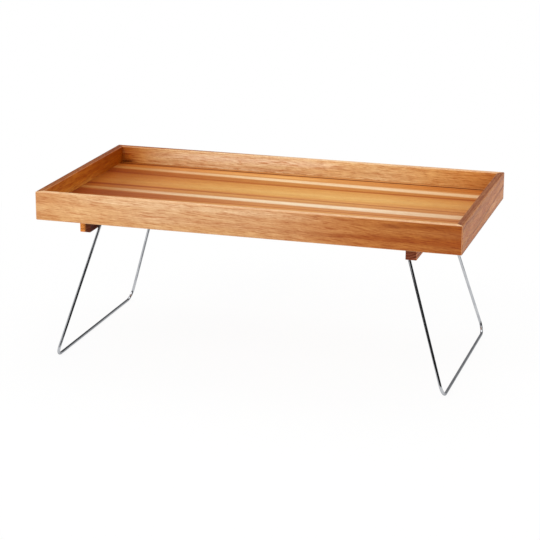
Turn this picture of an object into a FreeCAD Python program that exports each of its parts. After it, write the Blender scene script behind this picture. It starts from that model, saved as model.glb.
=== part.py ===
import FreeCAD, Part
import math
import os
import re
import Sketcher

# A bed tray table: a shallow wooden tray with mitred rails, whose two wire legs fold under it.
# Millimetres and degrees. The origin is on the ground under the middle of the tray, +X to the
# right, +Y to the back, +Z up. The legs stand open.

SIZES = (
    ("tray_length", 600, "outside, left to right"),
    ("tray_depth", 318, "outside, front to back"),
    ("rail_height", 40, "height of the four rails"),
    ("rail_thickness", 10, "thickness of the four rails"),
    ("corner_round", 2.2, "radius of the tray's upright corners"),
    ("arris_round", 1.4, "radius along the rails' long edges"),
    ("floor_recess", 24, "top of the rails down to the floor"),
    ("floor_thickness", 7, "thickness of the floor boards"),
    ("groove_depth", 5, "groove in the rails that holds the floor"),
    ("floor_gap", 0.5, "room for the floor to swell at the groove's bottom"),
    ("tongue_thickness", 5, "boards' tongue in the groove, level with their underside"),
    ("floor_seam", 0.2, "boards' shoulder to the rails"),
    ("board_count", 5, "floor boards, front to back"),
    ("spline_length", 18, "loose tongue in a mitre, up and down"),
    ("spline_width", 6, "the same, across the mitre"),
    ("spline_thickness", 1.5, "the same, along the mitre"),
    ("spline_inset", 5.4, "from the outer faces in to its middle"),
    ("spline_lift", 1.5, "above the floor"),
    ("under_height", 204, "ground to the rails' lower edge"),
    ("batten_width", 15, "batten under each end, side to side"),
    ("batten_drop", 15, "batten's reach below the rails"),
    ("batten_inset", 52, "end rail's inner face to the batten"),
    ("batten_end_gap", 0.5, "batten's end to the long rail"),
    ("batten_round", 1.0, "radius along the batten's lower edges"),
    ("wire_diameter", 4, "wire of the legs"),
    ("leg_splay", 17.5, "standing legs' lean from upright"),
    ("foot_inset", 10, "tray's front face to the foot's square corner"),
    ("hip_inset", 39, "tray's front face to the upright at the pin"),
    ("foot_bend", 15, "bend radius at the foot, on the wire's centre line"),
    ("hip_bend", 6, "bend radius at the pin, on the wire's centre line"),
    ("pivot_drop", 4, "pins' centre below the rails' lower edge"),
    ("stop_gap", 0.3, "standing wire to the batten's square edge"),
    ("pin_tail", 3, "pin's tip past the bracket"),
    ("pin_chamfer", 0.5, "bevel on the pin's tip"),
    ("bracket_width", 16, "leg bracket along the pin"),
    ("bracket_height", 18, "its plate, up and down"),
    ("bracket_corner", 2, "radius of its plate's corners"),
    ("bracket_metal", 1.5, "thickness of its sheet"),
    ("ear_rim", 2.5, "metal around the pin's hole"),
    ("ear_gap", 3, "wire's bend to the first ear"),
    ("pin_clearance", 0.05, "between pin and hole, on the radius"),
    ("screw_pitch", 11, "a bracket's two screws, up and down"),
    ("bracket_screw_head", 5.5, "head diameter"),
    ("bracket_screw_rise", 1.6, "head height"),
    ("bracket_screw_dome", 1.1, "radius of the head's rounded edge"),
    ("bracket_screw_shank", 3, "shank diameter"),
    ("bracket_screw_length", 11, "below the head"),
    ("batten_screw_head", 7, "head diameter"),
    ("batten_screw_cone", 2, "height of the countersunk head"),
    ("batten_screw_shank", 3.5, "shank diameter"),
    ("batten_screw_length", 25, "over all"),
    ("batten_screw_sink", 4, "head's face above the batten's lower face"),
    ("screw_tip", 2, "length of a screw's point"),
    ("drill_clearance", 0.05, "between a screw and its hole, on the radius"),
    ("slot_width", 0.9, "arm of the cross recess in a head"),
    ("slot_depth", 1.0, "depth of the cross recess"),
    ("slot_margin", 1.2, "from its arm's end to the head's edge"),
)

# What follows from the sizes, in the order in which it is worked out.
WORKED = (
    ("inner_length", "tray_length - 2 * rail_thickness"),
    ("inner_depth", "tray_depth - 2 * rail_thickness"),
    ("floor_top", "under_height + rail_height - floor_recess"),
    ("floor_bottom", "floor_top - floor_thickness"),
    ("board_length", "inner_length + 2 * (groove_depth - floor_gap)"),
    ("floor_depth", "inner_depth + 2 * (groove_depth - floor_gap)"),
    ("board_width", "floor_depth / board_count"),
    ("batten_face", "inner_length / 2 - batten_inset - batten_width"),
    ("batten_bottom", "under_height - batten_drop"),
    ("batten_height", "floor_bottom - batten_bottom"),
    ("wire_radius", "wire_diameter / 2"),
    ("pivot_height", "under_height - pivot_drop"),
    ("stop_below", "(batten_drop - pivot_drop) * sin(leg_splay)"),
    ("pin_setback", "(wire_radius + stop_gap + stop_below) / cos(leg_splay)"),
    ("pivot_out", "batten_face - pin_setback"),
    ("leg_slant", "(pivot_height - wire_radius) / cos(leg_splay)"),
    ("foot_half", "tray_depth / 2 - foot_inset"),
    ("hip_half", "tray_depth / 2 - hip_inset"),
    ("upright_lean", "atan((foot_half - hip_half) / leg_slant)"),
    ("hip_run", "hip_bend * tan(45 - upright_lean / 2)"),
    ("foot_run", "foot_bend * tan(45 + upright_lean / 2)"),
    ("bracket_outer", "hip_half - hip_run - ear_gap"),
    ("bracket_middle", "bracket_outer - bracket_width / 2"),
    ("pin_tip", "bracket_outer - bracket_width - pin_tail"),
    ("ear_radius", "wire_radius + pin_clearance + ear_rim"),
    ("head_face", "batten_bottom + batten_screw_sink"),
)

SIZE_NAMES = [name for name, value, note in SIZES]
WORKED_NAMES = [name for name, rule in WORKED]

doc = FreeCAD.newDocument("bed_tray_table")


def formula(text):
    """Writes the sheet's or the worked values' name in front of each of their words."""
    def whole(match):
        word = match.group(0)
        if word in SIZE_NAMES:
            return "Sizes." + word
        if word in WORKED_NAMES:
            return "Worked." + word
        return word
    return re.sub(r"[a-z_]+", whole, text)


def number(text):
    """The present value of a formula."""
    return float(sheet.evalExpression(formula(text)))


def bind(thing, **rules):
    """Ties properties to formulas; two underscores in a name stand for a dot."""
    for name, text in rules.items():
        thing.setExpression(name.replace("__", "."), formula(text))


def make_sheet():
    table = doc.addObject("Spreadsheet::Sheet", "Sizes")
    for row, (name, value, note) in enumerate(SIZES, start=1):
        table.set("A%d" % row, note)
        table.set("B%d" % row, str(value))
        table.setAlias("B%d" % row, name)
    doc.recompute()
    return table


def make_worked():
    values = doc.addObject("App::VarSet", "Worked")
    for name, rule in WORKED:
        values.addProperty("App::PropertyFloat", name, "Worked", rule)
        values.setExpression(name, formula(rule))
        doc.recompute()


def place(thing, east="0", north="0", up="0", axis=(0, 0, 1), angle="0"):
    """Sets a thing down at a point, turned about one axis."""
    turn = FreeCAD.Rotation(FreeCAD.Vector(*axis), number(angle))
    spot = FreeCAD.Vector(number(east), number(north), number(up))
    thing.Placement = FreeCAD.Placement(spot, turn)
    bind(thing, Placement__Base__x=east, Placement__Base__y=north, Placement__Base__z=up)
    if angle != "0":
        bind(thing, Placement__Rotation__Angle=angle)


# Sketches and the features made from them.

def new_body(label):
    body = doc.addObject("PartDesign::Body", label)
    body.Label = label
    return body


def new_sketch(body, role, name, lift=None):
    plane = next(item for item in body.Origin.OriginFeatures if item.Role == role)
    sketch = body.newObject("Sketcher::SketchObject", name)
    sketch.AttachmentSupport = [(plane, "")]
    sketch.MapMode = "FlatFace"
    if lift:
        bind(sketch, AttachmentOffset__Base__z=lift)
    return sketch


def relate(sketch, kind, *picks):
    sketch.addConstraint(Sketcher.Constraint(kind, *picks))


def measure(sketch, kind, picks, text):
    """Adds a dimension that follows a formula."""
    count = sketch.addConstraint(Sketcher.Constraint(kind, *picks, number(text)))
    name = "%s_%d" % (kind, count)
    sketch.renameConstraint(count, name)
    sketch.setExpression("Constraints." + name, formula(text))


def pin_down(sketch, piece, end, across, along):
    """Gives one end of a line, or a centre, its place from the sketch's origin."""
    for kind, axis, text in (("DistanceX", -2, across), ("DistanceY", -1, along)):
        if text == "0":
            relate(sketch, "PointOnObject", piece, end, axis)
        else:
            measure(sketch, kind, (-1, 1, piece, end), text)


def add_outline(sketch, points):
    """A closed run of straight lines through points given as two formulas each."""
    spots = [FreeCAD.Vector(number(across), number(along), 0) for across, along in points]
    total = len(spots)
    for index in range(total):
        sketch.addGeometry(Part.LineSegment(spots[index], spots[(index + 1) % total]))
    for index in range(total):
        relate(sketch, "Coincident", index, 2, (index + 1) % total, 1)
    for index, (across, along) in enumerate(points):
        pin_down(sketch, index, 1, across, along)


def add_rectangle(sketch, left, right, low, high):
    add_outline(sketch, ((left, low), (right, low), (right, high), (left, high)))


def add_circle(sketch, across, along, radius):
    spot = FreeCAD.Vector(number(across), number(along), 0)
    ring = sketch.addGeometry(Part.Circle(spot, FreeCAD.Vector(0, 0, 1), number(radius)))
    pin_down(sketch, ring, 3, across, along)
    measure(sketch, "Radius", (ring,), radius)


def add_feature(body, kind, name, sketch, length, both_ways=False):
    feature = body.newObject(kind, name)
    feature.Profile = sketch
    feature.Midplane = both_ways
    bind(feature, Length=length)
    return feature


def pad(body, name, sketch, length, both_ways=False):
    return add_feature(body, "PartDesign::Pad", name, sketch, length, both_ways)


def pocket(body, name, sketch, length):
    """Cuts half of the length to each side of the sketch."""
    return add_feature(body, "PartDesign::Pocket", name, sketch, length, True)


def round_edges(body, name, radius, chosen, kind="PartDesign::Fillet", size="Radius"):
    """Rounds, or bevels, the edges of the body so far for which chosen(edge) holds."""
    doc.recompute()
    base = body.Tip
    picks = ["Edge%d" % count for count, edge in enumerate(base.Shape.Edges, start=1) if chosen(edge)]
    feature = body.newObject(kind, name)
    feature.Base = (base, picks)
    bind(feature, **{size: radius})
    return feature


def level(edge, height):
    """Whether an edge lies at one height."""
    return all(abs(point.Point.z - height) < 0.001 for point in edge.Vertexes)


def turned_body(label, points):
    """A piece turned about +Z, from an outline of radius and height."""
    body = new_body(label)
    sketch = new_sketch(body, "XZ_Plane", label + "_outline")
    add_outline(sketch, points)
    turn = body.newObject("PartDesign::Revolution", label + "_turn")
    turn.Profile = sketch
    turn.ReferenceAxis = (sketch, ["V_Axis"])
    turn.Angle = 360
    return body


def cross_recess(body, face, span):
    """Cuts a cross into a screw's head, whose face is at a height."""
    across = "slot_width / 2"
    for name, half_x, half_y in (("slot_one", span, across), ("slot_two", across, span)):
        sketch = new_sketch(body, "XY_Plane", body.Label + "_" + name, lift=face)
        add_rectangle(sketch, "-(%s)" % half_x, half_x, "-(%s)" % half_y, half_y)
        pocket(body, body.Label + "_" + name + "_cut", sketch, "2 * slot_depth")


def copies(label, master, spots):
    """One object of separate copies of a master, each at its own place."""
    links = []
    for count, spot in enumerate(spots, start=1):
        link = doc.addObject("App::Link", "%s_%d" % (label, count))
        link.LinkedObject = master
        place(link, **spot)
        links.append(link)
    group = doc.addObject("Part::Compound", label)
    group.Label = label
    group.Links = links
    return group


def cut(label, base, tool):
    result = doc.addObject("Part::Cut", label)
    result.Label = label
    result.Base = base
    result.Tool = tool
    return result


# The tray.

def make_rail(label, length):
    """One rail, its outer face on local y = 0 and its lower edge on z = 0."""
    body = new_body(label + "_blank")
    plan = new_sketch(body, "XY_Plane", label + "_plan")
    half = number(length) / 2
    thick = number("rail_thickness")
    bend = number("corner_round")
    tuck = bend * (1 - math.cos(math.pi / 4))
    up = FreeCAD.Vector(0, 0, 1)
    right = FreeCAD.Vector(half - bend, bend, 0)
    left = FreeCAD.Vector(bend - half, bend, 0)
    stops = {
        "outer_left": FreeCAD.Vector(bend - half, 0, 0),
        "outer_right": FreeCAD.Vector(half - bend, 0, 0),
        "tip_right": FreeCAD.Vector(half - tuck, tuck, 0),
        "inner_right": FreeCAD.Vector(half - thick, thick, 0),
        "inner_left": FreeCAD.Vector(thick - half, thick, 0),
        "tip_left": FreeCAD.Vector(tuck - half, tuck, 0),
    }
    eighth = math.pi / 4
    outer, round_right, mitre_right, inner, mitre_left, round_left = range(6)
    plan.addGeometry([
        Part.LineSegment(stops["outer_left"], stops["outer_right"]),
        Part.ArcOfCircle(Part.Circle(right, up, bend), -2 * eighth, -eighth),
        Part.LineSegment(stops["tip_right"], stops["inner_right"]),
        Part.LineSegment(stops["inner_right"], stops["inner_left"]),
        Part.LineSegment(stops["inner_left"], stops["tip_left"]),
        Part.ArcOfCircle(Part.Circle(left, up, bend), -3 * eighth, -2 * eighth),
    ])
    relate(plan, "Tangent", outer, 2, round_right, 1)
    relate(plan, "Coincident", round_right, 2, mitre_right, 1)
    relate(plan, "Coincident", mitre_right, 2, inner, 1)
    relate(plan, "Coincident", inner, 2, mitre_left, 1)
    relate(plan, "Coincident", mitre_left, 2, round_left, 1)
    relate(plan, "Tangent", round_left, 2, outer, 1)
    relate(plan, "PointOnObject", outer, 1, -1)
    relate(plan, "Horizontal", outer)
    relate(plan, "PointOnObject", round_right, 3, mitre_right)
    relate(plan, "PointOnObject", round_left, 3, mitre_left)
    relate(plan, "Angle", mitre_right, 3 * eighth)
    relate(plan, "Angle", mitre_left, -3 * eighth)
    relate(plan, "Symmetric", inner, 1, inner, 2, -2)
    pin_down(plan, inner, 1, "%s / 2 - rail_thickness" % length, "rail_thickness")
    measure(plan, "Radius", (round_right,), "corner_round")
    pad(body, label + "_stock", plan, "rail_height")

    groove = new_sketch(body, "YZ_Plane", label + "_groove")
    add_rectangle(groove, "rail_thickness - groove_depth", "rail_thickness + groove_depth",
                  "floor_bottom - under_height", "floor_bottom - under_height + tongue_thickness")
    pocket(body, label + "_groove_cut", groove, "%s + 2 * rail_thickness" % length)

    top = number("rail_height")

    def is_arris(edge):
        middle = edge.CenterOfMass
        along = abs(middle.x) < 0.001
        return along and (level(edge, 0) or level(edge, top))

    round_edges(body, label + "_arris", "arris_round", is_arris)
    return body


def make_tray():
    """Four mitred rails with a loose tongue in each mitre, round a floor of boards."""
    tongue = new_body("corner_spline")
    slot = new_body("spline_slot")
    for body, spare in ((tongue, "0"), (slot, "drill_clearance")):
        sketch = new_sketch(body, "XY_Plane", body.Label + "_plan", lift="-(%s)" % spare)
        add_rectangle(sketch, "-spline_width / 2 - " + spare, "spline_width / 2 + " + spare,
                      "-spline_thickness / 2 - " + spare, "spline_thickness / 2 + " + spare)
        pad(body, body.Label + "_block", sketch, "spline_length + 2 * " + spare)
    corners = []
    for side, end, angle in ((1, -1, 45), (1, 1, -45), (-1, 1, 45), (-1, -1, -45)):
        corners.append({"east": "%d * (tray_length / 2 - spline_inset)" % side,
                        "north": "%d * (tray_depth / 2 - spline_inset)" % end,
                        "up": "floor_top + spline_lift", "angle": str(angle)})
    splines = copies("corner_splines", tongue, corners)
    slots = copies("spline_slots", slot, corners)

    rails = []
    for label, length, east, north, angle in (
            ("front_rail", "tray_length", "0", "-tray_depth / 2", "0"),
            ("back_rail", "tray_length", "0", "tray_depth / 2", "180"),
            ("left_rail", "tray_depth", "-tray_length / 2", "0", "-90"),
            ("right_rail", "tray_depth", "tray_length / 2", "0", "90")):
        blank = make_rail(label, length)
        place(blank, east, north, "under_height", angle=angle)
        rails.append(cut(label, blank, slots))
    return rails + [splines]


def make_rebate():
    """What is cut off the boards' upper side all round, to leave their tongue."""
    layers = []
    tongue = "floor_bottom + tongue_thickness"
    for label, long_side, short_side, low in (
            ("rebate_outside", "tray_length", "tray_depth", tongue),
            ("rebate_inside", "inner_length - 2 * floor_seam", "inner_depth - 2 * floor_seam", tongue)):
        layer = doc.addObject("Part::Box", label)
        bind(layer, Length=long_side, Width=short_side, Height="2 * floor_thickness")
        place(layer, "-(%s) / 2" % long_side, "-(%s) / 2" % short_side, low)
        layers.append(layer)
    return cut("rebate", *layers)


def make_boards(drills):
    waste = doc.addObject("Part::Compound", "board_waste")
    waste.Links = [drills, make_rebate()]
    boards = []
    for count in range(int(number("board_count"))):
        label = "floor_board_%d" % (count + 1)
        stock = doc.addObject("Part::Box", label + "_blank")
        bind(stock, Length="board_length", Width="board_width", Height="floor_thickness")
        place(stock, "-board_length / 2", "%d * board_width - floor_depth / 2" % count, "floor_bottom")
        boards.append(cut(label, stock, waste))
    return boards


# The battens under the tray and what is screwed to them.

def make_battens(drills):
    battens = []
    for label, side in (("left_batten", -1), ("right_batten", 1)):
        body = new_body(label + "_blank")
        section = new_sketch(body, "XZ_Plane", label + "_section")
        add_rectangle(section, "-batten_width / 2", "batten_width / 2", "0", "batten_height")
        pad(body, label + "_stock", section, "inner_depth - 2 * batten_end_gap", both_ways=True)
        round_edges(body, label + "_round", "batten_round", lambda edge: level(edge, 0))
        place(body, "%d * (batten_face + batten_width / 2)" % side, "0", "batten_bottom")
        battens.append(cut(label, body, drills))
    return battens


def make_batten_screws():
    """A countersunk screw through a batten into every board, and the holes for them."""
    screw = turned_body("batten_screw", (
        ("0", "0"), ("batten_screw_head / 2", "0"), ("batten_screw_shank / 2", "-batten_screw_cone"),
        ("batten_screw_shank / 2", "screw_tip - batten_screw_length"), ("0", "-batten_screw_length")))
    cross_recess(screw, "0", "batten_screw_head / 2 - slot_margin")
    bore = "batten_screw_head / 2 + drill_clearance"
    hole = "batten_screw_shank / 2 + drill_clearance"
    end = "-batten_screw_length - drill_clearance"
    drill = turned_body("batten_drill", (
        ("0", "2 * batten_screw_sink"), (bore, "2 * batten_screw_sink"), (bore, "0"),
        (hole, "-batten_screw_cone"), (hole, end), ("0", end)))
    spots = []
    for side in (-1, 1):
        for count in range(int(number("board_count"))):
            spots.append({"east": "%d * (batten_face + batten_width / 2)" % side,
                          "north": "(%d + 0.5) * board_width - floor_depth / 2" % count,
                          "up": "head_face", "axis": (1, 0, 0), "angle": "180"})
    return copies("batten_screws", screw, spots), copies("batten_drills", drill, spots)


def make_bracket():
    """A channel bracket: a plate on the batten and two ears, its pin along local Y at the origin."""
    body = new_body("bracket")
    plate = new_sketch(body, "YZ_Plane", "bracket_plate", lift="pin_setback - bracket_metal")
    add_rectangle(plate, "-bracket_width / 2", "bracket_width / 2",
                  "-bracket_height / 2", "bracket_height / 2")
    pad(body, "bracket_base", plate, "bracket_metal")

    def is_corner(edge):
        return edge.Length < number("bracket_metal") + 0.001

    round_edges(body, "bracket_base_corners", "bracket_corner", is_corner)
    ear = new_sketch(body, "XZ_Plane", "bracket_ear")
    rim = number("ear_radius")
    back = number("pin_setback")
    top_line, face_line, low_line, nose = range(4)
    ear.addGeometry([
        Part.LineSegment(FreeCAD.Vector(0, rim, 0), FreeCAD.Vector(back, rim, 0)),
        Part.LineSegment(FreeCAD.Vector(back, rim, 0), FreeCAD.Vector(back, -rim, 0)),
        Part.LineSegment(FreeCAD.Vector(back, -rim, 0), FreeCAD.Vector(0, -rim, 0)),
        Part.ArcOfCircle(Part.Circle(FreeCAD.Vector(0, 0, 0), FreeCAD.Vector(0, 0, 1), rim),
                         math.pi / 2, 3 * math.pi / 2),
    ])
    relate(ear, "Coincident", top_line, 2, face_line, 1)
    relate(ear, "Coincident", face_line, 2, low_line, 1)
    relate(ear, "Tangent", low_line, 2, nose, 2)
    relate(ear, "Tangent", nose, 1, top_line, 1)
    relate(ear, "Horizontal", top_line)
    relate(ear, "Vertical", face_line)
    relate(ear, "Coincident", nose, 3, -1, 1)
    measure(ear, "Radius", (nose,), "ear_radius")
    measure(ear, "DistanceX", (-1, 1, face_line, 1), "pin_setback")
    pad(body, "bracket_ears", ear, "bracket_width", both_ways=True)

    gap = new_sketch(body, "XY_Plane", "bracket_gap")
    add_rectangle(gap, "-2 * ear_radius", "pin_setback - bracket_metal",
                  "bracket_metal - bracket_width / 2", "bracket_width / 2 - bracket_metal")
    pocket(body, "bracket_gap_cut", gap, "4 * ear_radius")
    hole = new_sketch(body, "XZ_Plane", "pin_hole")
    add_circle(hole, "0", "0", "wire_radius + pin_clearance")
    pocket(body, "pin_hole_cut", hole, "2 * bracket_width")
    holes = new_sketch(body, "YZ_Plane", "screw_holes")
    for side in ("-", ""):
        add_circle(holes, "0", side + "screw_pitch / 2", "bracket_screw_shank / 2 + drill_clearance")
    pocket(body, "screw_holes_cut", holes, "4 * pin_setback")
    return body


def make_bracket_screws():
    """Pan-head screws through the brackets into the battens, and the holes for them."""
    screw = turned_body("bracket_screw", (
        ("0", "bracket_screw_rise"), ("bracket_screw_head / 2", "bracket_screw_rise"),
        ("bracket_screw_head / 2", "0"), ("bracket_screw_shank / 2", "0"),
        ("bracket_screw_shank / 2", "screw_tip - bracket_screw_length"), ("0", "-bracket_screw_length")))
    crown = number("bracket_screw_rise")
    round_edges(screw, "bracket_screw_crown", "bracket_screw_dome",
                lambda edge: edge.Vertexes and level(edge, crown) and "Circle" in str(edge.Curve))
    cross_recess(screw, "bracket_screw_rise", "bracket_screw_head / 2 - slot_margin")
    hole = "bracket_screw_shank / 2 + drill_clearance"
    end = "-bracket_screw_length - drill_clearance"
    drill = turned_body("bracket_drill", (("0", "0"), (hole, "0"), (hole, end), ("0", end)))
    spots = []
    for side in (-1, 1):
        for end_sign in (-1, 1):
            for step in (-1, 1):
                spots.append({"east": "%d * (batten_face - bracket_metal)" % side,
                              "north": "%d * bracket_middle" % end_sign,
                              "up": "pivot_height + %d * screw_pitch / 2" % step,
                              "axis": (0, 1, 0), "angle": str(-90 * side)})
    return copies("bracket_screws", screw, spots), copies("bracket_drills", drill, spots)


def make_brackets():
    master = make_bracket()
    brackets = []
    for side_name, side, angle in (("left", -1, "180"), ("right", 1, "0")):
        for end_name, end_sign in (("front", -1), ("back", 1)):
            spot = {"east": "%d * pivot_out" % side, "north": "%d * bracket_middle" % end_sign,
                    "up": "pivot_height", "angle": angle}
            brackets.append(copies("%s_%s_bracket" % (side_name, end_name), master, [spot]))
    return brackets


# The wire legs.

def make_leg(label, east, angle):
    """One bent wire: pins turned in along local Y through the origin, the foot bar below."""
    body = new_body(label)
    route = new_sketch(body, "YZ_Plane", label + "_route")
    tip, hip, foot, slant = (number(name) for name in ("pin_tip", "hip_half", "foot_half", "leg_slant"))
    lean = math.radians(number("upright_lean"))
    hip_run, foot_run = number("hip_run"), number("foot_run")
    hip_bend, foot_bend = number("hip_bend"), number("foot_bend")
    up = FreeCAD.Vector(0, 0, 1)

    def spot(across, along):
        return FreeCAD.Vector(across, along, 0)

    bend_top = spot(hip + hip_run * math.sin(lean), -hip_run * math.cos(lean))
    bend_low = spot(foot - foot_run * math.sin(lean), foot_run * math.cos(lean) - slant)
    hip_ring = Part.Circle(spot(hip - hip_run, -hip_bend), up, hip_bend)
    foot_ring = Part.Circle(spot(foot - foot_run, foot_bend - slant), up, foot_bend)
    mirror_hip = Part.Circle(spot(hip_run - hip, -hip_bend), up, hip_bend)
    mirror_foot = Part.Circle(spot(foot_run - foot, foot_bend - slant), up, foot_bend)
    quarter = math.pi / 2

    def flipped(point):
        return spot(-point.x, point.y)

    (pin_one, hip_one, upright_one, foot_one, bar,
     foot_two, upright_two, hip_two, pin_two) = range(9)
    route.addGeometry([
        Part.LineSegment(spot(tip, 0), spot(hip - hip_run, 0)),
        Part.ArcOfCircle(hip_ring, lean, quarter),
        Part.LineSegment(bend_top, bend_low),
        Part.ArcOfCircle(foot_ring, -quarter, lean),
        Part.LineSegment(spot(foot - foot_run, -slant), spot(foot_run - foot, -slant)),
        Part.ArcOfCircle(mirror_foot, 2 * quarter - lean, 3 * quarter),
        Part.LineSegment(flipped(bend_low), flipped(bend_top)),
        Part.ArcOfCircle(mirror_hip, quarter, 2 * quarter - lean),
        Part.LineSegment(spot(hip_run - hip, 0), spot(-tip, 0)),
    ])
    relate(route, "Tangent", pin_one, 2, hip_one, 2)
    relate(route, "Tangent", hip_one, 1, upright_one, 1)
    relate(route, "Tangent", upright_one, 2, foot_one, 2)
    relate(route, "Tangent", foot_one, 1, bar, 1)
    relate(route, "Tangent", bar, 2, foot_two, 2)
    relate(route, "Tangent", foot_two, 1, upright_two, 1)
    relate(route, "Tangent", upright_two, 2, hip_two, 2)
    relate(route, "Tangent", hip_two, 1, pin_two, 1)
    relate(route, "Symmetric", bar, 1, bar, 2, -2)
    relate(route, "Symmetric", upright_one, 1, upright_two, 2, -2)
    relate(route, "Symmetric", pin_one, 1, pin_two, 2, -2)
    relate(route, "Equal", hip_one, hip_two)
    relate(route, "Equal", foot_one, foot_two)
    relate(route, "PointOnObject", pin_one, 1, -1)
    relate(route, "PointOnObject", pin_one, 2, -1)
    measure(route, "DistanceX", (-1, 1, pin_one, 1), "pin_tip")
    measure(route, "DistanceY", (-1, 1, bar, 1), "-leg_slant")
    measure(route, "Radius", (hip_one,), "hip_bend")
    measure(route, "Radius", (foot_one,), "foot_bend")
    for across, along in (("hip_half", "0"), ("foot_half", "-leg_slant")):
        square = route.addGeometry(Part.Point(spot(number(across), number(along))), True)
        pin_down(route, square, 1, across, along)
        relate(route, "PointOnObject", square, 1, upright_one)

    end = new_sketch(body, "XZ_Plane", label + "_wire", lift="-pin_tip")
    add_circle(end, "0", "0", "wire_radius")
    doc.recompute()
    wire = body.newObject("PartDesign::AdditivePipe", label + "_bent")
    wire.Profile = end
    wire.Spine = (route, ["Edge%d" % (count + 1) for count in range(9)])
    tips = number("pin_tip")

    def is_tip(edge):
        return abs(abs(edge.CenterOfMass.y) - tips) < 0.001 and "Circle" in str(edge.Curve)

    round_edges(body, label + "_tips", "pin_chamfer", is_tip, "PartDesign::Chamfer", "Size")
    place(body, east, "0", "pivot_height", axis=(0, 1, 0), angle=angle)
    return body


sheet = make_sheet()
make_worked()
batten_screws, batten_drills = make_batten_screws()
bracket_screws, bracket_drills = make_bracket_screws()
drills = doc.addObject("Part::Compound", "batten_holes")
drills.Links = [batten_drills, bracket_drills]

pieces = make_tray()
pieces += make_boards(batten_drills)
pieces += make_battens(drills)
pieces.append(make_leg("left_leg", "-pivot_out", "leg_splay"))
pieces.append(make_leg("right_leg", "pivot_out", "-leg_splay"))
pieces += make_brackets()
pieces += [bracket_screws, batten_screws]

doc.recompute()
for thing in doc.Objects:
    if "Invalid" in thing.State or "Error" in thing.State:
        raise RuntimeError("%s was not made: %s" % (thing.Label, thing.State))
for piece in pieces:
    if piece.Shape.isNull() or not piece.Shape.isValid() or not piece.Shape.Solids:
        raise RuntimeError("%s has no sound shape" % piece.Label)

os.makedirs("parts", exist_ok=True)
for piece in pieces:
    piece.Shape.exportStep("parts/%s.step" % piece.Label)
    volume = piece.Shape.Volume / 1000
    print("%-22s %d solid(s), %.1f cm3" % (piece.Label, len(piece.Shape.Solids), volume))
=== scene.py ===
import math
import bpy
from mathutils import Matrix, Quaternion, Vector


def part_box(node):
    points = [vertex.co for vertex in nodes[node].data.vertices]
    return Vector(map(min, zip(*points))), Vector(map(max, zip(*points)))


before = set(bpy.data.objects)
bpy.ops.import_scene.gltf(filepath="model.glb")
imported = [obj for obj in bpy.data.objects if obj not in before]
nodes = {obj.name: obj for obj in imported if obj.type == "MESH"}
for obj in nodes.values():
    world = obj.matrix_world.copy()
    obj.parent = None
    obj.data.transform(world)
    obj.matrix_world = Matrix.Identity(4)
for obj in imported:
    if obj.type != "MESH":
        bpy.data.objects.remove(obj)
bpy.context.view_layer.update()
trayLow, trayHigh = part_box("front_rail")  # the tray's length, its front face and its rails' heights
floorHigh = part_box("floor_board_3")[1]
print("frame loaded:", len(nodes), "pieces")

floatKind = "NodeSocketFloat"
vectorKind = "NodeSocketVector"


# Small helpers for node trees

def tone(red, green, blue):  # a colour as read on a screen, 0 to 255, made linear by the sRGB curve
    def linear(part):
        share = part / 255
        return share / 12.92 if share <= 0.04045 else ((share + 0.055) / 1.055) ** 2.4
    return (linear(red), linear(green), linear(blue), 1.0)


def feed(tree, socket, value):  # joins another node's socket to this one, or sets its number
    if isinstance(value, bpy.types.NodeSocket):
        tree.links.new(value, socket)
    else:
        socket.default_value = value


def put(tree, kind, inputs=None, **settings):
    node = tree.nodes.new("ShaderNode" + kind)
    for name, value in settings.items():
        setattr(node, name, value)
    for name, value in (inputs or {}).items():
        feed(tree, node.inputs[name], value)
    return node


def calc(tree, operation, *values, kind="Math", **settings):
    node = put(tree, kind, operation=operation, **settings)
    for socket, value in zip(node.inputs, values):
        feed(tree, socket, value)
    return node.outputs[0]


def stretch(tree, vector, scale):  # multiplies a vector, axis by axis
    return calc(tree, "MULTIPLY", vector, scale, kind="VectorMath")


def ease(tree, value, start, end, low=0.0, high=1.0):  # a soft step from start to end
    node = put(tree, "MapRange", {"Value": value, "From Min": start, "From Max": end,
                                  "To Min": low, "To Max": high}, interpolation_type="SMOOTHSTEP")
    return node.outputs["Result"]


def blend(tree, factor, first, second, mode="MIX"):  # 6 and 7 are the colour sockets of a Mix node
    node = put(tree, "Mix", {0: factor, 6: first, 7: second}, data_type="RGBA", blend_type=mode)
    return node.outputs[2]


def ramp(tree, factor, stops):
    node = put(tree, "ValToRGB", {"Fac": factor})
    marks = node.color_ramp.elements
    while len(marks) < len(stops):
        marks.new(0.5)
    for mark, (place, colour) in zip(marks, stops):
        mark.position = place
        mark.color = colour
    return node.outputs["Color"]


def noise(tree, vector, detail=2.0, roughness=0.5):
    node = put(tree, "TexNoise", {"Vector": vector, "Scale": 1.0, "Detail": detail, "Roughness": roughness})
    return node.outputs["Fac"]


def newGroup(name, given, result):
    group = bpy.data.node_groups.new(name, "ShaderNodeTree")
    for label, kind in given.items():
        group.interface.new_socket(label, in_out="INPUT", socket_type=kind)
    for label, kind in result.items():
        group.interface.new_socket(label, in_out="OUTPUT", socket_type=kind)
    return group, group.nodes.new("NodeGroupInput").outputs, group.nodes.new("NodeGroupOutput").inputs


def useGroup(tree, group, inputs):
    return put(tree, "Group", inputs, node_tree=group).outputs


def emptyTree(owner):  # the nodes of a material or of the world, cleared
    owner.use_nodes = True
    owner.node_tree.nodes.clear()
    return owner.node_tree


def newMaterial(name):
    material = bpy.data.materials.new(name)
    tree = emptyTree(material)
    shader = put(tree, "BsdfPrincipled")
    put(tree, "OutputMaterial", {"Surface": shader.outputs["BSDF"]})
    return material, tree, shader


# Effects that several materials share

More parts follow.
